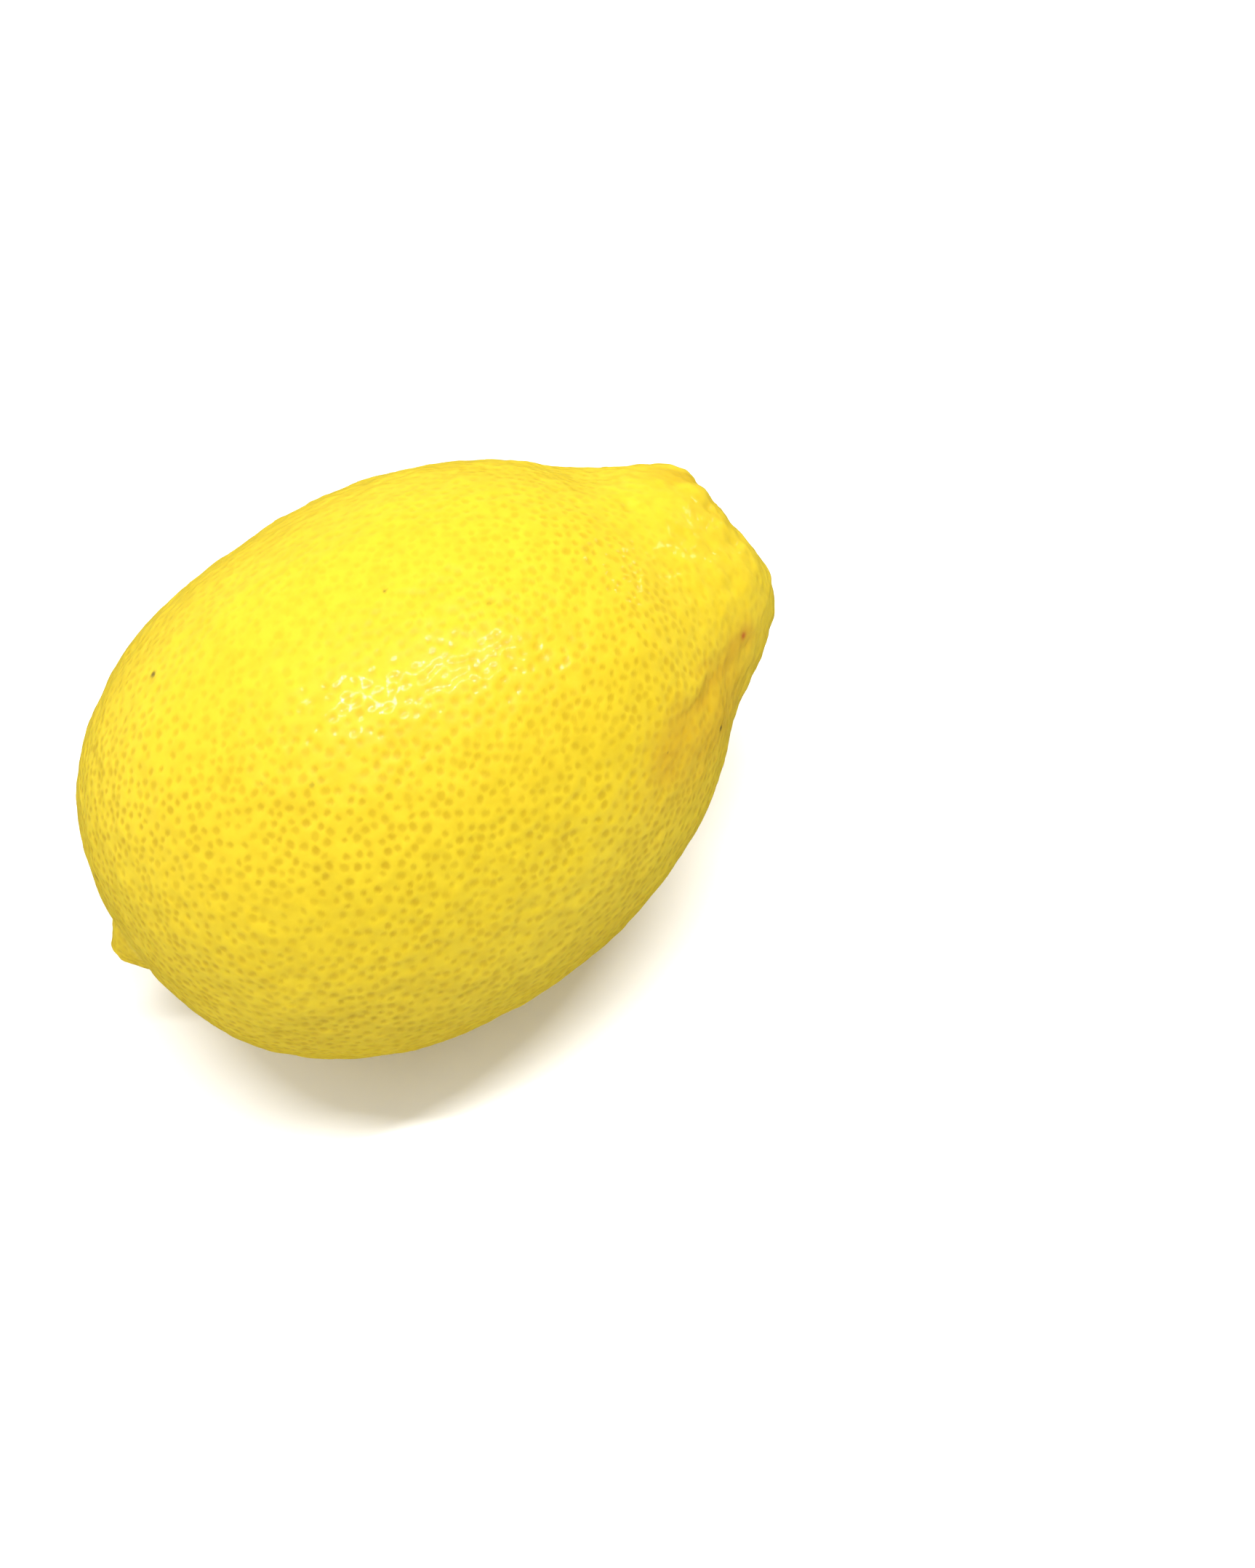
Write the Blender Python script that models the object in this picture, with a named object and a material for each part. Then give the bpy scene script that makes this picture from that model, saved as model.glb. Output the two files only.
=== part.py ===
"""A whole lemon lying on its side, settled on a small flat spot.

Units are metres and +Z is up. The fruit is first shaped along its own axis, with the blossom tip towards
-X and the stem neck towards +X. It is then tipped a little so that the neck rides high, cut flat where it
rests, and moved so that its bounding box stands centred on the origin.
"""

import math

import bmesh
import bpy
from mathutils import Matrix, Vector

# The belly: a blunt half towards the blossom and a slightly finer, longer half towards the stem.
BELLY_RADIUS = 0.030
BLOSSOM_REACH = 0.036
STEM_REACH = 0.039
BLOSSOM_BLUNTNESS = 2.23
STEM_BLUNTNESS = 2.09
BLUNTNESS_BLEND = 0.35

# The neck: the stem end drawn out into a broad knob, which fades softly into the belly. The top of the
# knob slopes a little and is sunk in its middle.
NECK_RISE = 0.0079
NECK_WIDTH = 0.015
NECK_STEEPNESS = 5.5
NECK_SLOPE = -0.08
KNOB_HOLLOW = 0.0014
KNOB_HOLLOW_WIDTH = 0.006

# The stem scar: a round pit in a shallow bowl, a little off the middle of the knob.
SCAR_CENTRE = Vector((0.0, 0.0024, 0.0036))
SCAR_RADIUS = 0.0022
SCAR_DEPTH = 0.0007
BOWL_RADIUS = 0.0042
BOWL_DEPTH = 0.0013

# The blossom tip: a small nipple, set off the axis.
TIP_CENTRE = Vector((0.0, 0.0041, -0.0061))
TIP_RISE = 0.0037
TIP_RADIUS = 0.0040

# Low swells and hollows that keep the rind from being a perfect turned shape.
# Each is a direction from the middle, how far it spreads (radians) and how high it stands.
SWELLS = (
    ((0.55, -0.60, 0.55), 0.50, 0.0005),
    ((-0.35, -0.75, 0.45), 0.45, -0.0004),
    ((-0.60, 0.30, 0.70), 0.50, 0.0005),
    ((0.30, 0.85, 0.30), 0.55, -0.0005),
    ((0.40, 0.05, -0.92), 0.55, 0.0010),
    ((-0.70, 0.55, -0.40), 0.45, 0.0004),
    ((0.15, -0.95, -0.25), 0.50, 0.0003),
    ((0.890, 0.414, 0.189), 0.17, -0.0004),
    ((0.965, 0.237, 0.108), 0.12, 0.0003),
    ((0.923, 0.139, 0.357), 0.15, 0.0007),
    ((0.925, -0.180, 0.335), 0.17, -0.0010),
)

# How the fruit lies: the neck end tipped up, and the depth pressed flat underneath.
TIP_UP = math.radians(10.0)
REST_DEPTH = 0.0009

# The mesh: squares along each edge of the cube it starts from, and how far they gather at the two ends.
SQUARES = 26
END_GATHER = 0.20

RIND_COLOUR = (0.86, 0.62, 0.035, 1.0)
RIND_ROUGHNESS = 0.42


def clear_scene():
    for old in list(bpy.data.objects):
        bpy.data.objects.remove(old, do_unlink=True)


def smooth_step(low, high, value):
    """0 below low, 1 above high, and an S curve between them."""
    share = min(max((value - low) / (high - low), 0.0), 1.0)
    return share * share * (3.0 - 2.0 * share)


def bell(distance, width):
    return math.exp(-((distance / width) ** 2))


def off_axis(point, centre=Vector((0.0, 0.0, 0.0))):
    """Distance from the line along X through centre."""
    return math.hypot(point.y - centre.y, point.z - centre.z)


def gather_to_ends(direction):
    """Slides a direction towards the nearer end of the fruit, where the shape needs more points."""
    from_axis = math.acos(max(-1.0, min(1.0, direction.x)))
    moved = from_axis - END_GATHER * math.sin(2.0 * from_axis)
    around = Vector((0.0, direction.y, direction.z))
    if around.length < 1e-9:
        return direction.copy()
    around.normalize()
    return Vector((math.cos(moved), 0.0, 0.0)) + around * math.sin(moved)


def belly_point(direction):
    """The point of the belly that lies along a direction from its middle."""
    stem_share = smooth_step(-BLUNTNESS_BLEND, BLUNTNESS_BLEND, direction.x)
    power = BLOSSOM_BLUNTNESS + (STEM_BLUNTNESS - BLOSSOM_BLUNTNESS) * stem_share
    across = math.hypot(direction.y, direction.z)
    scale = (abs(direction.x) ** power + across**power) ** (-1.0 / power)
    reach = STEM_REACH if direction.x > 0.0 else BLOSSOM_REACH
    return Vector((direction.x * reach, direction.y * BELLY_RADIUS, direction.z * BELLY_RADIUS)) * scale


def swell_height(direction):
    return sum(
        height * bell(direction.angle(Vector(middle)), spread) for middle, spread, height in SWELLS
    )


def neck_rise(point):
    distance = off_axis(point)
    fade = math.exp(-((distance / NECK_WIDTH) ** NECK_STEEPNESS))
    hollow = KNOB_HOLLOW * bell(distance, KNOB_HOLLOW_WIDTH)
    return (NECK_RISE + NECK_SLOPE * point.z) * fade - hollow


def scar_depth(point):
    """How deep the bowl at the top of the knob is, with the pit in its middle."""
    distance = off_axis(point, SCAR_CENTRE)
    pit = 1.0 - smooth_step(0.4 * SCAR_RADIUS, 1.4 * SCAR_RADIUS, distance)
    return BOWL_DEPTH * bell(distance, BOWL_RADIUS) + SCAR_DEPTH * pit


def tip_rise(point):
    return TIP_RISE * bell(off_axis(point, TIP_CENTRE), TIP_RADIUS)


def rind_point(direction):
    """The point of the finished rind that a direction from the middle leads to."""
    point = belly_point(direction)
    outward = Vector(
        (point.x / STEM_REACH**2, point.y / BELLY_RADIUS**2, point.z / BELLY_RADIUS**2)
    ).normalized()
    shift = outward * swell_height(direction)
    if direction.x > 0.0:
        shift += Vector((neck_rise(point) - scar_depth(point), 0.0, 0.0))
    else:
        shift -= Vector((tip_rise(point), 0.0, 0.0))
    return point + shift


def add_rind(mesh):
    """Fills mesh with a cube of even squares, rounds it to a ball and shapes the ball into the fruit."""
    bmesh.ops.create_cube(mesh, size=2.0)
    bmesh.ops.subdivide_edges(mesh, edges=mesh.edges[:], cuts=SQUARES - 1, use_grid_fill=True)
    for vertex in mesh.verts:
        even = Vector([math.tan(math.pi / 4.0 * side) for side in vertex.co])
        vertex.co = rind_point(gather_to_ends(even.normalized()))


def settle(mesh):
    """Tips the fruit, cuts the spot that it rests on and stands its box centred on the origin."""
    bmesh.ops.rotate(mesh, verts=mesh.verts[:], matrix=Matrix.Rotation(-TIP_UP, 3, "Y"))
    rest = min(vertex.co.z for vertex in mesh.verts) + REST_DEPTH
    cut = bmesh.ops.bisect_plane(
        mesh,
        geom=mesh.verts[:] + mesh.edges[:] + mesh.faces[:],
        plane_co=(0.0, 0.0, rest),
        plane_no=(0.0, 0.0, -1.0),
        clear_outer=True,
    )
    rim = [item for item in cut["geom_cut"] if isinstance(item, bmesh.types.BMEdge)]
    bmesh.ops.edgeloop_fill(mesh, edges=rim)
    xs = [vertex.co.x for vertex in mesh.verts]
    ys = [vertex.co.y for vertex in mesh.verts]
    middle = Vector(((min(xs) + max(xs)) / 2.0, (min(ys) + max(ys)) / 2.0, rest))
    bmesh.ops.translate(mesh, verts=mesh.verts[:], vec=-middle)
    bmesh.ops.recalc_face_normals(mesh, faces=mesh.faces[:])


def rind_material():
    material = bpy.data.materials.new("rind")
    material.use_nodes = True
    shader = material.node_tree.nodes["Principled BSDF"]
    shader.inputs["Base Color"].default_value = RIND_COLOUR
    shader.inputs["Roughness"].default_value = RIND_ROUGHNESS
    shader.inputs["Metallic"].default_value = 0.0
    material.diffuse_color = RIND_COLOUR
    return material


def build_lemon():
    shape = bmesh.new()
    add_rind(shape)
    settle(shape)
    data = bpy.data.meshes.new("lemon")
    shape.to_mesh(data)
    shape.free()
    for face in data.polygons:
        face.use_smooth = True
    lemon = bpy.data.objects.new("lemon", data)
    lemon.data.materials.append(rind_material())
    bpy.context.scene.collection.objects.link(lemon)
    return lemon


clear_scene()
build_lemon()
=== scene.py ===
"""A whole lemon with its real skin: oil glands, soft lumps, neck wrinkles, stem scar and blossom tip.

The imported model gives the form. The skin here is a dense mesh laid on that form, with the relief that a
rind has pressed into it, and a procedural material that takes its marks from the same relief.
Lengths in the relief are in millimetres, measured in the fruit's own frame: X along the axis towards the
stem neck, Y across, Z up before the fruit was tipped. Everything that goes into the scene is in metres.
"""

import math

import bmesh
import bpy
import numpy as np
from mathutils import Matrix, Vector
from mathutils.bvhtree import BVHTree
from mathutils.kdtree import KDTree


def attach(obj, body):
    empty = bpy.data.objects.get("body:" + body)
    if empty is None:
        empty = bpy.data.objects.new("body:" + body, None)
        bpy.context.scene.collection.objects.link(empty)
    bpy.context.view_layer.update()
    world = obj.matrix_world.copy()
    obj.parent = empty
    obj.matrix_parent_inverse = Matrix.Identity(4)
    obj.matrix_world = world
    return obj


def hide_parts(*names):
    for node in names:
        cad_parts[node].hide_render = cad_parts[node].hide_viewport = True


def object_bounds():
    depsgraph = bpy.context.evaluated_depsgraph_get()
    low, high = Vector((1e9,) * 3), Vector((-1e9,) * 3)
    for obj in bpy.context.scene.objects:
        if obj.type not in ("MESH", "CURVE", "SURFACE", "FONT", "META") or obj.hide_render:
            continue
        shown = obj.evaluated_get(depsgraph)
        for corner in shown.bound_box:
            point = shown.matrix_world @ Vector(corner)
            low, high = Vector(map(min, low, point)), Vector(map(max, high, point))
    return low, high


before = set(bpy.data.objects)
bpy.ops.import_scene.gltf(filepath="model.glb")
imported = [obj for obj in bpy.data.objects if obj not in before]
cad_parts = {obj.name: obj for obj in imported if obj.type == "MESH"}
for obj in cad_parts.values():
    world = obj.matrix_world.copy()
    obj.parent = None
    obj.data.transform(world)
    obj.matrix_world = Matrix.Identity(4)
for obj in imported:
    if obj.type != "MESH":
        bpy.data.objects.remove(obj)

cad_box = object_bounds()
cad_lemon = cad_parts["lemon"]

MM = 0.001

# How the fruit lies in the frame: the point that its shape is drawn from, and its tilt, neck end up.
FRUIT_MIDDLE = Vector((-0.00458, 0.00021, 0.02983))
FRUIT_TILT = math.radians(10.0)

# The skin's mesh: squares along each edge of the cube that it starts from.
SQUARES = 220
# How much the starting ball is drawn out, so that the squares come out even on a long fruit.
DRAWN_OUT = 1.3
# The gap left round each side of the cube in the texture map, as a share of that side.
MAP_MARGIN = 0.02

# Soft unevenness of the whole rind: how wide and how high each size of lump is.
LUMPS = ((14.0, 0.20), (6.0, 0.10), (2.6, 0.115), (1.3, 0.060))
# Finer unevenness that the knob has on top of that.
KNOB_LUMPS = ((1.9, 0.10), (0.9, 0.060), (0.6, 0.022))

# Oil glands: the least distance between two, the radius of their marks, how dark the marks are (0 to 1),
# how deep each gland is sunk, and how many places are tried for them.
GLAND_SPACING = 0.98
GLAND_RADIUS = (0.35, 0.51)
GLAND_STRENGTH = (0.54, 0.92)
GLAND_DEPTH = 0.098
GLAND_TRIES = 90000

SEED = 7


# ---------------------------------------------------------------- small helpers


def smooth_step(low, high, values):
    """0 below low, 1 above high, and an S curve between them."""
    share = np.clip((values - low) / (high - low), 0.0, 1.0)
    return share * share * (3.0 - 2.0 * share)


def bell(distance, width):
    return np.exp(-((distance / width) ** 2))


def to_fruit(points):
    """Frame points in metres, as fruit points in millimetres."""
    moved = (points - np.array(FRUIT_MIDDLE)) / MM
    cosine, sine = math.cos(FRUIT_TILT), math.sin(FRUIT_TILT)
    along = moved[:, 0] * cosine + moved[:, 2] * sine
    upward = -moved[:, 0] * sine + moved[:, 2] * cosine
    return np.stack([along, moved[:, 1], upward], axis=1)


def corner_values(cells, seed):
    """A repeatable number from 0 to 1 for each whole-number cell."""
    x, y, z = (cells[:, axis].astype(np.int64) for axis in range(3))
    mixed = (x * 73856093) ^ (y * 19349663) ^ (z * 83492791) ^ (seed * 2654435761)
    mixed = (mixed ^ (mixed >> 13)) * 1274126177
    return ((mixed ^ (mixed >> 16)) & 0xFFFF) / 65535.0


def noise(points, size, seed):
    """Smooth random unevenness from -1 to 1, with lumps about size across. Each seed has its own."""
    scaled = points / size + 57.3 * seed
    cell = np.floor(scaled)
    part = scaled - cell
    part = part * part * part * (part * (6.0 * part - 15.0) + 10.0)
    total = np.zeros(len(points))
    for corner in np.ndindex(2, 2, 2):
        weight = np.ones(len(points))
        for axis in range(3):
            weight *= part[:, axis] if corner[axis] else 1.0 - part[:, axis]
        total += weight * corner_values(cell + np.array(corner), seed)
    return 2.0 * total - 1.0


def path_distance(points, path):
    """Distance from each point to a path of straight stretches, and how far along it (0 to 1)."""
    path = np.array(path, float)
    lengths = np.linalg.norm(path[1:] - path[:-1], axis=1)
    nearest = np.full(len(points), 1e9)
    share = np.zeros(len(points))
    done = 0.0
    for start, end, length in zip(path[:-1], path[1:], lengths):
        line = (end - start) / length
        along = np.clip((points - start) @ line, 0.0, length)
        apart = np.linalg.norm(points - start - along[:, None] * line, axis=1)
        closer = apart < nearest
        nearest = np.where(closer, apart, nearest)
        share = np.where(closer, (done + along) / lengths.sum(), share)
        done += length
    return nearest, share


# ---------------------------------------------------------------- the smooth form under the skin


def smooth_form():
    """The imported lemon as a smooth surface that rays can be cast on."""
    form = cad_lemon.data.copy()
    shape = bmesh.new()
    shape.from_mesh(form)
    bmesh.ops.remove_doubles(shape, verts=shape.verts[:], dist=1e-6)
    bmesh.ops.join_triangles(
        shape, faces=shape.faces[:], angle_face_threshold=0.7, angle_shape_threshold=0.9
    )
    shape.to_mesh(form)
    shape.free()
    guide = bpy.data.objects.new("form_guide", form)
    bpy.context.scene.collection.objects.link(guide)
    rounding = guide.modifiers.new("rounding", "SUBSURF")
    rounding.levels = rounding.render_levels = 2
    tree = BVHTree.FromObject(guide, bpy.context.evaluated_depsgraph_get())
    bpy.data.objects.remove(guide, do_unlink=True)
    bpy.data.meshes.remove(form)
    return tree


def cube_faces():
    """For each side of a cube: its outward direction and the two directions along it."""
    x, y, z = np.eye(3)
    return ((x, y, z), (-x, z, y), (y, z, x), (-y, x, z), (z, x, y), (-z, y, x))


def ball_grid(squares):
    """A ball of even squares: directions, faces, and where each face corner lies in the texture map."""
    steps = np.tan(np.linspace(-math.pi / 4.0, math.pi / 4.0, squares + 1))
    across, upward = np.meshgrid(steps, steps, indexing="ij")
    row = squares + 1
    first = (np.arange(squares)[:, None] * row + np.arange(squares)[None, :]).ravel()
    quad = np.stack([first, first + row, first + row + 1, first + 1], axis=1)
    place = np.stack(np.meshgrid(np.arange(row), np.arange(row), indexing="ij"), axis=-1)
    place = MAP_MARGIN + (1.0 - 2.0 * MAP_MARGIN) * place.reshape(-1, 2) / squares
    directions, quads, maps = [], [], []
    for number, (out, right, up) in enumerate(cube_faces()):
        side = out + across[..., None] * right + upward[..., None] * up
        directions.append(side.reshape(-1, 3))
        quads.append(quad + number * row * row)
        tile = np.array([number % 3, number // 3])
        maps.append(((place + tile) / np.array([3.0, 2.0]))[quad])
    directions = np.concatenate(directions)
    directions /= np.linalg.norm(directions, axis=1, keepdims=True)
    _, kept, index = np.unique(np.round(directions, 6), axis=0, return_index=True, return_inverse=True)
    return directions[kept], index.reshape(-1)[np.concatenate(quads)], np.concatenate(maps)


def lay_on_form(directions, tree):
    """Where each direction from the middle of the fruit meets its form, in metres."""
    drawn = directions * np.array([DRAWN_OUT, 1.0, 1.0])
    turn = np.array(Matrix.Rotation(-FRUIT_TILT, 3, "Y"))
    rays = drawn @ turn.T
    points = np.empty_like(rays)
    for number, ray in enumerate(rays):
        points[number] = tree.ray_cast(FRUIT_MIDDLE, Vector(ray).normalized())[0]
    return points


def point_normals(points, quads):
    """Outward normals at the points of a closed mesh of quads."""
    flat = np.cross(points[quads[:, 2]] - points[quads[:, 0]], points[quads[:, 3]] - points[quads[:, 1]])
    total = np.zeros_like(points)
    for corner in range(4):
        for axis in range(3):
            total[:, axis] += np.bincount(quads[:, corner], flat[:, axis], len(points))
    return total / np.linalg.norm(total, axis=1, keepdims=True)


# ---------------------------------------------------------------- relief and marks

# All of it is in the fruit's own frame, in millimetres.

# The stem scar in the bowl of the knob: where it is (Y and Z), its radius, and how high or deep its parts
# are. The coarse and the fine ridges run out from it over the knob.
SCAR_ACROSS = np.array([2.4, 3.6])
SCAR_RADIUS = 2.3
SCAR_RIM_RISE = 0.26
SCAR_GROOVE_DEPTH = 0.22
SCAR_CRACK_DEPTH = 0.20
SCAR_MIDDLE_RISE = 0.30
SCAR_GRAIN_RISE = 0.10
RIDGE_RISE = 0.30
FINE_RIDGE_RISE = 0.14

# The blossom tip: where it is, its radius, and how high or deep its parts are. The style scar is the small
# dark scar on its end.
TIP_ACROSS = np.array([4.1, -6.1])
TIP_RADIUS = 4.4
WRINKLE_RISE = 0.24
FOLD_DEPTH = 0.22
STYLE_RIM_RISE = 0.16
STYLE_SCAR_DEPTH = 0.34

# Valleys that run from the knob down onto the belly: path, width, depth and how ochre they are.
# The ochre is partly the rind's deeper colour, partly painted shade and warm bounce light in the valleys.
VALLEYS = (
    (((37.3, -14.4, 4.5), (33.1, -16.6, 6.2), (30.2, -18.5, 8.1), (24.9, -21.6, 10.7)), 1.5, 0.26, 0.80),
    (((27.6, -20.2, 9.3), (24.9, -21.6, 10.7), (21.7, -23.5, 10.7), (18.6, -25.0, 10.2)), 2.4, 0.18, 0.70),
    (((28.6, -17.2, 12.4), (30.6, -16.9, 10.3), (33.1, -16.4, 7.3)), 0.7, 0.13, 0.50),
    (((30.0, -12.1, 16.3), (30.6, -12.8, 15.0)), 0.6, 0.08, 0.15),
    # This band has no depth: it only paints shade in ochre along the neck's lower side.
    (((37.0, -14.0, 1.0), (29.0, -20.5, 5.5), (20.0, -25.0, 9.0)), 3.6, 0.0, 0.60),
    (((41.0, 12.5, -2.0), (35.5, 16.2, -3.0), (29.5, 20.0, -4.0)), 2.2, 0.40, 0.30),
    (((41.0, 6.5, -9.5), (35.0, 8.0, -14.0), (28.0, 9.5, -19.5)), 2.3, 0.42, 0.30),
    (((41.0, -5.5, -9.0), (35.0, -8.0, -13.0), (28.5, -10.0, -18.5)), 2.0, 0.38, 0.35),
    (((41.5, 9.5, 7.5), (37.0, 12.5, 9.5), (31.0, 15.0, 12.5)), 2.2, 0.24, 0.15),
)

# Bumps and dents of the knob's rim and shoulder: where, how wide and how high.
BUMPS = (
    ((42.9, 0.9, 10.6), 1.3, 0.30),
    ((42.9, -1.4, 10.0), 0.9, -0.26),
    ((42.9, -3.4, 9.2), 1.3, 0.28),
    ((43.0, -5.7, 7.9), 0.9, -0.22),
    ((32.9, 7.6, 16.2), 3.4, -0.38),
    ((34.4, 0.7, 16.6), 0.8, -0.42),
    ((35.4, 0.2, 16.2), 0.6, 0.16),
    ((29.8, -19.8, 4.6), 2.2, 0.25),
    ((38.6, -9.0, 11.2), 2.0, 0.16),
    ((42.0, 8.6, -5.0), 1.6, 0.25),
    ((42.4, 3.0, -8.6), 1.5, 0.22),
)

# Small dark specks: where, radius and strength.
SPECKS = (
    ((-16.8, 10.8, 25.6), 0.36, 0.9),
    ((-34.2, 3.0, 12.0), 0.60, 0.45),
    ((34.0, 0.9, 16.7), 0.50, 0.12),
    ((29.0, -20.7, 3.4), 0.34, 0.9),
    ((-10.1, -11.3, 26.9), 0.30, 0.35),
    ((6.7, 0.6, 29.7), 0.20, 0.7),
    ((14.4, -6.1, 27.6), 0.17, 0.7),
    ((-14.0, -8.1, 27.1), 0.20, 0.3),
    ((21.6, -23.2, 11.2), 0.18, 0.5),
    ((-6.0, 24.0, 16.0), 0.26, 0.7),
    ((12.0, 21.0, -18.0), 0.30, 0.6),
    ((-20.0, -6.0, -24.0), 0.24, 0.6),
)

# The middle of the red-brown spot on the knob.
BRUISE = np.array([37.5, -14.1, 4.8])

# How strongly each of these colours its mark.
STAIN_STRENGTH = 0.55
STYLE_SCAR_STRENGTH = 0.75
GROOVE_STRENGTH = 0.55
# The pale ring is partly a painted highlight along the fold round the blossom tip.
PALE_AND_HIGHLIGHT_STRENGTH = 0.42

# How deep a speck is sunk, and how high above the floor the relief reaches its full height.
SPECK_DEPTH = 0.06
FLOOR_CLEARANCE = (0.05, 2.5)


def off_axis(fruit, across):
    """Distance and angle of each point about a line along X, and on which side of the middle it is."""
    y, z = fruit[:, 1] - across[0], fruit[:, 2] - across[1]
    return np.hypot(y, z), np.arctan2(z, y)


def round_noise(angle, count, seed):
    """Random unevenness round a circle, with about count lumps on it."""
    reach = count / 6.0
    ring = np.stack([np.cos(angle) * reach, np.sin(angle) * reach, np.zeros(len(angle))], axis=1)
    return noise(ring, 1.0, seed)


def scatter_glands(points, quads):
    """Places the oil glands evenly but at random, and gives each its radius and strength."""
    rng = np.random.default_rng(SEED)
    corners = points[quads]
    areas = np.linalg.norm(np.cross(corners[:, 2] - corners[:, 0], corners[:, 3] - corners[:, 1]), axis=1)
    chosen = rng.choice(len(quads), GLAND_TRIES, p=areas / areas.sum())
    share = rng.random((GLAND_TRIES, 2, 1))
    low = corners[chosen, 0] * (1 - share[:, 0]) + corners[chosen, 1] * share[:, 0]
    high = corners[chosen, 3] * (1 - share[:, 0]) + corners[chosen, 2] * share[:, 0]
    tries = low * (1 - share[:, 1]) + high * share[:, 1]
    spacing = GLAND_SPACING * (1.0 + 0.16 * noise(tries, 7.0, 3))
    spacing *= 1.0 - 0.18 * smooth_step(-18.0, -34.0, tries[:, 0])
    spacing *= 1.0 + 0.20 * smooth_step(28.0, 42.0, tries[:, 0])
    tree = point_tree(tries)
    free = np.ones(GLAND_TRIES, dtype=bool)
    kept = []
    for number in range(GLAND_TRIES):
        if free[number]:
            kept.append(number)
            for _, other, _ in tree.find_range(tries[number], spacing[number]):
                free[other] = False
    places = tries[kept]
    radii = GLAND_RADIUS[0] + (GLAND_RADIUS[1] - GLAND_RADIUS[0]) * rng.random(len(kept)) ** 1.2
    radii *= 1.0 - 0.14 * smooth_step(-18.0, -34.0, places[:, 0])
    strengths = GLAND_STRENGTH[0] + (GLAND_STRENGTH[1] - GLAND_STRENGTH[0]) * rng.random(len(kept))
    return places, radii, strengths


def point_tree(places):
    tree = KDTree(len(places))
    for number, place in enumerate(places):
        tree.insert(place, number)
    tree.balance()
    return tree


def gland_marks(points, glands):
    """How dark each point is and how deeply it lies in glands, both from 0 to 1."""
    places, radii, strengths = glands
    tree = point_tree(places)
    shift = [0.16 * noise(points, 0.9, seed) for seed in (21, 22, 23)]
    shaken = points + np.stack(shift, axis=1)
    nearest = np.array([[found[1:] for found in tree.find_n(point, 2)] for point in shaken])
    gland = nearest[:, :, 0].astype(int)
    share = nearest[:, :, 1] / radii[gland]
    dark = strengths[gland] * (1.0 - smooth_step(0.55, 1.20, share))
    deep = strengths[gland] * np.clip(1.0 - (share / 1.50) ** 2, 0.0, 1.0) ** 1.5
    return np.minimum(dark.sum(axis=1), 1.0), np.minimum(deep.sum(axis=1), 1.0)


def gland_fading(fruit):
    """How plainly the glands show: less on the knob, and less on the lit top, as a painted highlight."""
    way = fruit / np.linalg.norm(fruit, axis=1, keepdims=True)
    # Painted highlight: the glands fade on the top that faces the key light, as if its glare washed them
    # out.
    lit_top = smooth_step(0.45, 1.0, way @ np.array([0.15, 0.35, 0.92]))
    knob = smooth_step(26.0, 40.0, fruit[:, 0])
    return (1.0 - 0.60 * lit_top) * (1.0 - 0.72 * knob) * (0.85 + 0.25 * noise(fruit, 9.0, 24))


def neck_relief(fruit):
    """Height of the valleys, bumps and dents of the neck, and their ochre, which is partly painted shade.
    """
    height = np.zeros(len(fruit))
    ochre_and_shade = np.zeros(len(fruit))
    for number, (path, width, depth, tint) in enumerate(VALLEYS):
        distance, share = path_distance(fruit + 0.5 * noise(fruit, 3.0, 50)[:, None], path)
        fade = smooth_step(-0.05, 0.25, share) * (1.0 - smooth_step(0.75, 1.05, share))
        fade = 0.35 + 0.65 * fade
        height -= depth * fade * bell(distance, width)
        # Ochre in the valleys: partly the rind's deeper colour, partly painted shade and warm bounce
        # light.
        ochre_and_shade = np.maximum(ochre_and_shade, tint * fade * bell(distance, 1.5 * width))
    for place, width, rise in BUMPS:
        height += rise * bell(np.linalg.norm(fruit - np.array(place), axis=1), width)
    return height, ochre_and_shade


def scar_relief(fruit):
    """The stem scar: a cracked woody disc with a groove and a raised rim, and ridges that run out from it.

    Returns the height, and how woody, how deep in the groove and how stained each point is.
    """
    distance, angle = off_axis(fruit, SCAR_ACROSS)
    near = smooth_step(34.0, 38.0, fruit[:, 0])
    edge = SCAR_RADIUS * (1.0 + 0.22 * round_noise(angle, 9, 61))
    wood = near * (1.0 - smooth_step(0.85, 1.08, distance / edge))
    rim = bell(distance - 1.25 * edge, 0.55)
    groove = bell(distance - 0.98 * edge, 0.28)
    cracks = smooth_step(0.30, 0.70, np.abs(round_noise(angle, 18, 62)))
    cracks *= smooth_step(0.4, 1.2, distance)
    fade = smooth_step(2.4, 4.0, distance) * (1.0 - smooth_step(6.0, 12.0, distance))
    ridges = RIDGE_RISE * round_noise(angle, 20, 63) + FINE_RIDGE_RISE * round_noise(angle, 38, 65)
    height = near * (SCAR_RIM_RISE * rim - SCAR_GROOVE_DEPTH * groove + fade * ridges)
    grain = SCAR_GRAIN_RISE * noise(fruit, 0.7, 64)
    height += wood * (grain - SCAR_CRACK_DEPTH * cracks + SCAR_MIDDLE_RISE * bell(distance, 0.8))
    creases = fade * smooth_step(0.1, 0.7, -ridges / RIDGE_RISE)
    stain = near * np.maximum(bell(distance - 1.35 * edge, 0.9), creases)
    return height, wood, groove * near, stain


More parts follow.
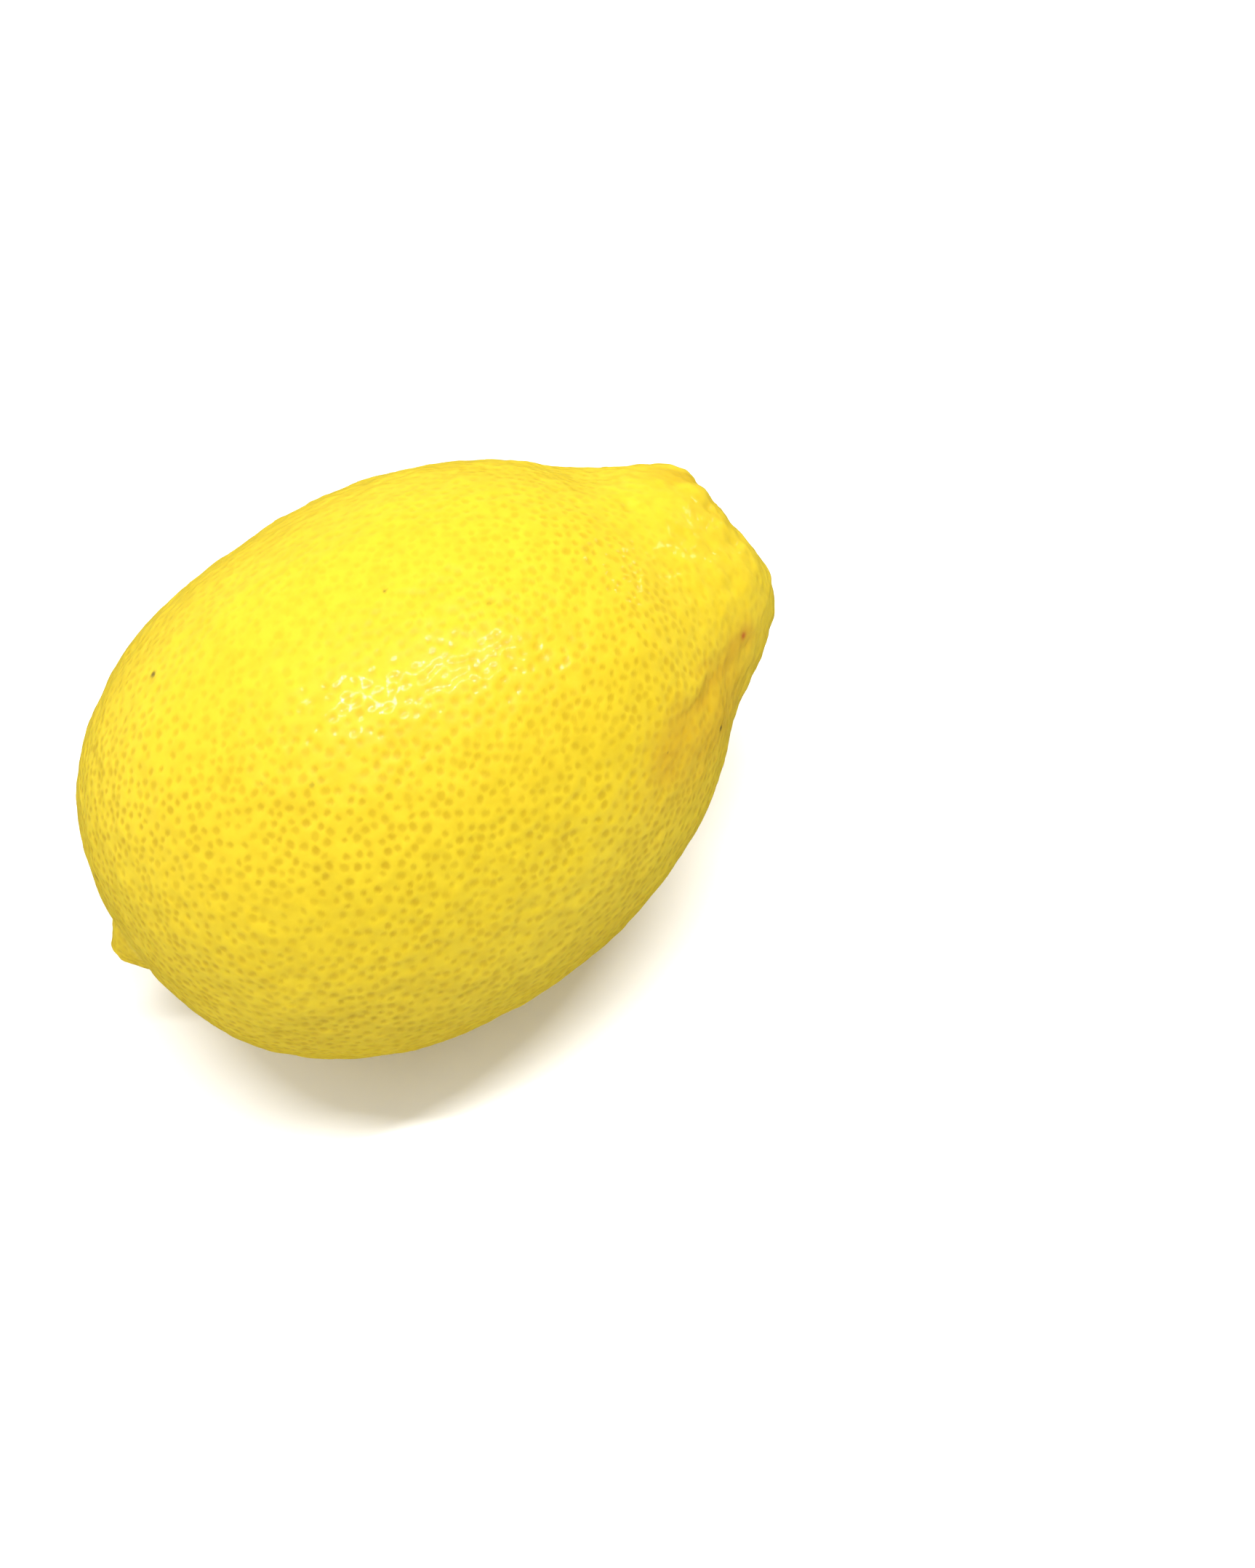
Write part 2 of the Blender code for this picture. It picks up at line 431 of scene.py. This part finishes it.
def tip_relief(fruit):
    """The blossom tip: the style scar on its end, wrinkles down its side and a fold round its foot.

    Returns the height, how far each point is in the style scar, and how much of the pale ring it has:
    partly paler rind, partly a painted highlight along the fold round the tip's foot.
    """
    distance, angle = off_axis(fruit, TIP_ACROSS)
    near = smooth_step(-27.0, -31.0, fruit[:, 0])
    wrinkles = round_noise(angle, 15, 71) * smooth_step(0.6, 2.0, distance)
    wrinkles *= 1.0 - smooth_step(3.5, 6.5, distance)
    uneven = 1.0 + 0.45 * round_noise(angle, 8, 72) + 0.20 * noise(fruit, 0.5, 74)
    scar = near * (1.0 - smooth_step(0.40, 1.10, distance * uneven))
    fold = bell(distance - 1.10 * TIP_RADIUS, 0.9)
    style_rim = bell(distance - 1.1, 0.4)
    height = near * (WRINKLE_RISE * wrinkles - FOLD_DEPTH * fold + STYLE_RIM_RISE * style_rim)
    height -= STYLE_SCAR_DEPTH * scar
    patches = smooth_step(-0.1, 0.7, noise(fruit, 3.5, 73))
    # Painted highlight: a broken pale ring along the fold round the tip's foot, partly paler rind.
    pale_and_highlight = near * patches * bell(distance - 1.18 * TIP_RADIUS, 0.7)
    return height, scar, pale_and_highlight


def speck_marks(fruit):
    """How dark the small specks make each point."""
    dark = np.zeros(len(fruit))
    uneven = 1.0 + 0.35 * noise(fruit, 0.35, 81)
    for place, radius, strength in SPECKS:
        distance = np.linalg.norm(fruit - np.array(place), axis=1) * uneven
        dark = np.maximum(dark, strength * (1.0 - smooth_step(0.5 * radius, 1.3 * radius, distance)))
    return dark


def bruise_marks(fruit):
    """The red-brown spot on the knob, with a paler brown stain round it."""
    distance = np.linalg.norm(fruit - BRUISE, axis=1) * (1.0 + 0.4 * noise(fruit, 1.2, 82))
    return 0.9 * bell(distance, 0.5) + 0.28 * bell(distance, 1.9)


def shape_skin(points, quads):
    """Presses the rind's relief into the points, and returns them with the marks that colour them."""
    fruit = to_fruit(points)
    normals = point_normals(points, quads)
    dark, deep = gland_marks(fruit, scatter_glands(fruit, quads))
    neck, ochre_and_shade = neck_relief(fruit)
    scar, wood, groove, stain = scar_relief(fruit)
    tip, tip_scar, pale_and_highlight = tip_relief(fruit)
    speck = speck_marks(fruit)
    bare = (1.0 - wood) * (1.0 - tip_scar)
    on_knob = smooth_step(28.0, 38.0, fruit[:, 0])
    shown = gland_fading(fruit)
    height = neck + scar + tip - SPECK_DEPTH * speck
    for number, (size, rise) in enumerate(LUMPS):
        height += rise * noise(fruit, size, 31 + number)
    for number, (size, rise) in enumerate(KNOB_LUMPS):
        height += rise * on_knob * noise(fruit, size, 41 + number)
    height -= GLAND_DEPTH * deep * bare * (1.0 - 0.5 * on_knob)
    clear_of_floor = smooth_step(*FLOOR_CLEARANCE, points[:, 2] / MM)
    skin = points + normals * (height * clear_of_floor * MM)[:, None]
    skin[:, 2] = np.maximum(skin[:, 2], 0.0)
    scars = np.maximum(STYLE_SCAR_STRENGTH * tip_scar, GROOVE_STRENGTH * groove)
    marks = {
        # The glands' colour is faded on the lit top, which is a painted highlight.
        "gland": dark * bare * shown,
        # The ochre mark holds painted shade in the valleys as well as the stain round the stem scar.
        "ochre_and_shade": np.maximum(ochre_and_shade, STAIN_STRENGTH * stain),
        "wood": wood,
        "speck": np.maximum(speck, scars),
        "bruise": bruise_marks(fruit),
        # The pale ring is partly a painted highlight along the fold round the blossom tip.
        "pale_and_highlight": PALE_AND_HIGHLIGHT_STRENGTH * pale_and_highlight,
    }
    return skin, marks


# ---------------------------------------------------------------- the skin object


def build_skin():
    directions, quads, maps = ball_grid(SQUARES)
    points = lay_on_form(directions, smooth_form())
    points, marks = shape_skin(points, quads)
    mesh = bpy.data.meshes.new("lemon_skin")
    mesh.vertices.add(len(points))
    mesh.vertices.foreach_set("co", points.astype(np.float32).ravel())
    mesh.loops.add(quads.size)
    mesh.loops.foreach_set("vertex_index", quads.astype(np.int32).ravel())
    mesh.polygons.add(len(quads))
    mesh.polygons.foreach_set("loop_start", np.arange(0, quads.size, 4, dtype=np.int32))
    mesh.update(calc_edges=True)
    mesh.polygons.foreach_set("use_smooth", np.ones(len(quads), dtype=bool))
    layer = mesh.uv_layers.new(name="OFBake")
    layer.uv.foreach_set("vector", maps.astype(np.float32).ravel())
    for name, values in marks.items():
        attribute = mesh.attributes.new(name, "FLOAT", "POINT")
        attribute.data.foreach_set("value", values.astype(np.float32))
    mesh.validate()
    skin = bpy.data.objects.new("lemon_skin", mesh)
    bpy.context.scene.collection.objects.link(skin)
    return skin


# ---------------------------------------------------------------- materials


def link(tree, source, target):
    tree.links.new(source, target)


def add_node(tree, kind, **settings):
    node = tree.nodes.new(kind)
    for name, value in settings.items():
        setattr(node, name, value)
    return node


def read_mark(tree, name):
    return add_node(tree, "ShaderNodeAttribute", attribute_name=name).outputs["Fac"]


def mix_colour(tree, share, first, second):
    node = add_node(tree, "ShaderNodeMix", data_type="RGBA")
    ends = ((node.inputs["Factor"], share), (node.inputs[6], first), (node.inputs[7], second))
    for socket, value in ends:
        if isinstance(value, bpy.types.NodeSocket):
            link(tree, value, socket)
        else:
            socket.default_value = value
    return node.outputs[2]


# Linear colours of the rind and its marks.
RIND_YELLOW = (0.668, 0.503, 0.0190, 1.0)
RIND_DEEP = (0.628, 0.458, 0.0155, 1.0)
GLAND_OCHRE = (0.488, 0.320, 0.0080, 1.0)
# Valley ochre: partly the rind's deeper colour, partly painted shade and warm bounce light.
VALLEY_OCHRE_AND_SHADE = (0.540, 0.310, 0.0080, 1.0)
# Pale ring: partly paler rind, partly a painted highlight along the fold round the blossom tip.
RING_PALE_AND_HIGHLIGHT = (0.760, 0.640, 0.1500, 1.0)
BRUISE_BROWN = (0.420, 0.110, 0.0120, 1.0)
SPECK_BROWN = (0.100, 0.060, 0.0150, 1.0)
WOOD_LIGHT = (0.340, 0.225, 0.0700, 1.0)
WOOD_DARK = (0.165, 0.092, 0.0270, 1.0)

# The rind's own soft shine, the light that goes a little way into it, and the thin glossy coat on top.
SOFT_SHINE = 0.12
GLOW_THROUGH = 0.22
GLOW_REACH = (1.0, 0.6, 0.1)
GLOW_DEPTH = 1.2
COAT_WEIGHT = 0.14
COAT_IOR = 1.35
COAT_ROUGHNESS = 0.048
# Grain finer than the mesh: its strength and its depth.
GRAIN_STRENGTH = 0.15
GRAIN_DEPTH = 0.02


def texture_noise(tree, size, detail=2.0):
    """Smooth noise from 0 to 1 that stays with the fruit, its grains about size millimetres across."""
    place = add_node(tree, "ShaderNodeTexCoord")
    grain = add_node(tree, "ShaderNodeTexNoise")
    grain.inputs["Scale"].default_value = 1.0 / (size * MM)
    grain.inputs["Detail"].default_value = detail
    link(tree, place.outputs["Object"], grain.inputs["Vector"])
    return grain.outputs["Fac"]


def spread(tree, value, low, high, new_low, new_high):
    """Carries values between low and high over to new_low and new_high."""
    node = add_node(tree, "ShaderNodeMapRange")
    link(tree, value, node.inputs["Value"])
    ends = (("From Min", low), ("From Max", high), ("To Min", new_low), ("To Max", new_high))
    for name, end in ends:
        node.inputs[name].default_value = end
    return node.outputs["Result"]


def rind_material():
    material = bpy.data.materials.new("lemon_rind")
    material.use_nodes = True
    tree = material.node_tree
    shader = tree.nodes["Principled BSDF"]
    broad = spread(tree, texture_noise(tree, 16.0), 0.35, 0.65, 0.0, 0.55)
    fine = spread(tree, texture_noise(tree, 1.6), 0.35, 0.70, 0.0, 0.30)
    colour = mix_colour(tree, broad, RIND_YELLOW, RIND_DEEP)
    colour = mix_colour(tree, fine, colour, GLAND_OCHRE)
    # Pale ring round the blossom tip: partly paler rind, partly a painted highlight.
    colour = mix_colour(tree, read_mark(tree, "pale_and_highlight"), colour, RING_PALE_AND_HIGHLIGHT)
    colour = mix_colour(tree, read_mark(tree, "gland"), colour, GLAND_OCHRE)
    # Ochre of the valleys and the stem scar's stain, partly painted shade in the valleys and under the
    # neck.
    colour = mix_colour(tree, read_mark(tree, "ochre_and_shade"), colour, VALLEY_OCHRE_AND_SHADE)
    colour = mix_colour(tree, read_mark(tree, "bruise"), colour, BRUISE_BROWN)
    grain = spread(tree, texture_noise(tree, 0.5, 4.0), 0.35, 0.65, 0.0, 1.0)
    bark = mix_colour(tree, grain, WOOD_DARK, WOOD_LIGHT)
    colour = mix_colour(tree, read_mark(tree, "wood"), colour, bark)
    colour = mix_colour(tree, read_mark(tree, "speck"), colour, SPECK_BROWN)
    link(tree, colour, shader.inputs["Base Color"])
    roughness = spread(tree, texture_noise(tree, 3.0), 0.3, 0.7, 0.40, 0.52)
    link(tree, roughness, shader.inputs["Roughness"])
    bump = add_node(tree, "ShaderNodeBump")
    bump.inputs["Strength"].default_value = GRAIN_STRENGTH
    bump.inputs["Distance"].default_value = GRAIN_DEPTH * MM
    link(tree, texture_noise(tree, 0.45, 2.0), bump.inputs["Height"])
    link(tree, bump.outputs["Normal"], shader.inputs["Normal"])
    link(tree, bump.outputs["Normal"], shader.inputs["Coat Normal"])
    shader.inputs["Specular IOR Level"].default_value = SOFT_SHINE
    shader.inputs["Subsurface Weight"].default_value = GLOW_THROUGH
    shader.inputs["Subsurface Radius"].default_value = GLOW_REACH
    shader.inputs["Subsurface Scale"].default_value = GLOW_DEPTH * MM
    shader.inputs["Coat Weight"].default_value = COAT_WEIGHT
    shader.inputs["Coat IOR"].default_value = COAT_IOR
    shader.inputs["Coat Roughness"].default_value = COAT_ROUGHNESS
    return material


# ---------------------------------------------------------------- floor, light and camera


# The floor's half width and its colour. It lies just under the fruit, clear of its flat spot.
FLOOR_HALF = 0.60
FLOOR_WHITE = (0.95, 0.95, 0.95, 1.0)
FLOOR_DROP = 0.0001

# The light all round: its strength level with the floor, and the way it grows stronger.
SKY_LEVEL = 0.41
SKY_SLANT = (-0.31, 0.31, 0.52)

# The key light is one long narrow strip above the fruit, pointing down. The glint is a small light low on
# the stem side, which brings out the knob's wrinkles.
KEY_PLACE = Vector((0.06, -0.055, 0.80))
KEY_TARGET = Vector((0.06, -0.055, 0.0))
KEY_SIZE = (0.64, 0.011)
KEY_POWER = 7.8
KEY_TURN = math.radians(-20.0)
GLINT_PLACE = Vector((0.76, 0.10, 0.24))
GLINT_TARGET = Vector((0.03, 0.0, 0.04))
GLINT_SIZE = (0.08, 0.08)
GLINT_POWER = 0.45


def plain_material(name, colour):
    material = bpy.data.materials.new(name)
    material.use_nodes = True
    shader = material.node_tree.nodes["Principled BSDF"]
    shader.inputs["Base Color"].default_value = colour
    shader.inputs["Roughness"].default_value = 1.0
    shader.inputs["Specular IOR Level"].default_value = 0.0
    return material


def add_floor():
    half = FLOOR_HALF
    mesh = bpy.data.meshes.new("floor")
    corners = [(-half, -half, 0), (half, -half, 0), (half, half, 0), (-half, half, 0)]
    mesh.from_pydata(corners, [], [(0, 1, 2, 3)])
    mesh.materials.append(plain_material("floor_white", FLOOR_WHITE))
    floor = bpy.data.objects.new("floor", mesh)
    floor.visible_glossy = False
    floor.location = (0.0, 0.0, -FLOOR_DROP)
    bpy.context.scene.collection.objects.link(floor)


def add_area_light(name, middle, target, size, power, turn):
    """A rectangular light that points at a target, turned about its own axis."""
    data = bpy.data.lights.new(name, "AREA")
    data.shape = "RECTANGLE"
    data.size, data.size_y = size
    data.energy = power
    light = bpy.data.objects.new(name, data)
    aim = (target - middle).to_track_quat("-Z", "Y").to_matrix().to_4x4()
    light.matrix_world = Matrix.Translation(middle) @ aim @ Matrix.Rotation(turn, 4, "Z")
    bpy.context.scene.collection.objects.link(light)


def add_world(level, slant):
    """White light all round. It grows stronger the way that slant points, and is faint below the floor.

    Seen directly it is plain white, so the backdrop stays pale from every side.
    """
    world = bpy.data.worlds.new("studio")
    world.use_nodes = True
    tree = world.node_tree
    place = add_node(tree, "ShaderNodeTexCoord")
    along = add_node(tree, "ShaderNodeVectorMath", operation="DOT_PRODUCT")
    link(tree, place.outputs["Generated"], along.inputs[0])
    along.inputs[1].default_value = slant
    above = add_node(tree, "ShaderNodeMath", operation="ADD")
    link(tree, along.outputs["Value"], above.inputs[0])
    above.inputs[1].default_value = level
    parts = add_node(tree, "ShaderNodeSeparateXYZ")
    link(tree, place.outputs["Generated"], parts.inputs["Vector"])
    below = spread(tree, parts.outputs["Z"], -0.30, -0.08, 0.12, 1.0)
    strength = add_node(tree, "ShaderNodeMath", operation="MULTIPLY")
    link(tree, above.outputs["Value"], strength.inputs[0])
    link(tree, below, strength.inputs[1])
    shown = add_node(tree, "ShaderNodeMath", operation="MAXIMUM")
    link(tree, strength.outputs["Value"], shown.inputs[0])
    link(tree, add_node(tree, "ShaderNodeLightPath").outputs["Is Camera Ray"], shown.inputs[1])
    background = tree.nodes["Background"]
    background.inputs["Color"].default_value = (1.0, 1.0, 1.0, 1.0)
    link(tree, shown.outputs["Value"], background.inputs["Strength"])
    bpy.context.scene.world = world


# The camera looks down on the fruit from the blossom side. These are where it turns round the fruit, how
# far off it is, how far the fruit stands from the middle of the view (right and up), and its lens.
CAMERA_AZIMUTH = math.radians(-34.77)
CAMERA_ELEVATION = math.radians(60.0)
CAMERA_DISTANCE = 0.220
FRUIT_RIGHT_OF_VIEW = -0.0210
FRUIT_ABOVE_VIEW = 0.00506
LENS = 44.88


def add_camera():
    right = Vector((math.cos(CAMERA_AZIMUTH), math.sin(CAMERA_AZIMUTH), 0.0))
    level = math.cos(CAMERA_ELEVATION)
    back = Vector(
        (
            math.sin(CAMERA_AZIMUTH) * level,
            -math.cos(CAMERA_AZIMUTH) * level,
            math.sin(CAMERA_ELEVATION),
        )
    )
    up = back.cross(right)
    low, high = cad_box
    middle = Vector((0.0, 0.0, high[2] / 2.0))
    data = bpy.data.cameras.new("camera")
    data.lens = LENS
    data.sensor_width = 36.0
    data.clip_start = 0.01
    camera = bpy.data.objects.new("camera", data)
    turned = Matrix((right, up, back)).transposed().to_4x4()
    place = middle + back * CAMERA_DISTANCE - right * FRUIT_RIGHT_OF_VIEW - up * FRUIT_ABOVE_VIEW
    camera.matrix_world = Matrix.Translation(place) @ turned
    bpy.context.scene.collection.objects.link(camera)
    bpy.context.scene.camera = camera


# ---------------------------------------------------------------- the scene

add_camera()
add_floor()
add_world(SKY_LEVEL, SKY_SLANT)
add_area_light("soft_key", KEY_PLACE, KEY_TARGET, KEY_SIZE, KEY_POWER, KEY_TURN)
add_area_light("neck_glint", GLINT_PLACE, GLINT_TARGET, GLINT_SIZE, GLINT_POWER, 0.0)
bpy.context.scene.view_settings.view_transform = "Standard"

skin = build_skin()
skin.data.materials.append(rind_material())
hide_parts("lemon")
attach(skin, "root")
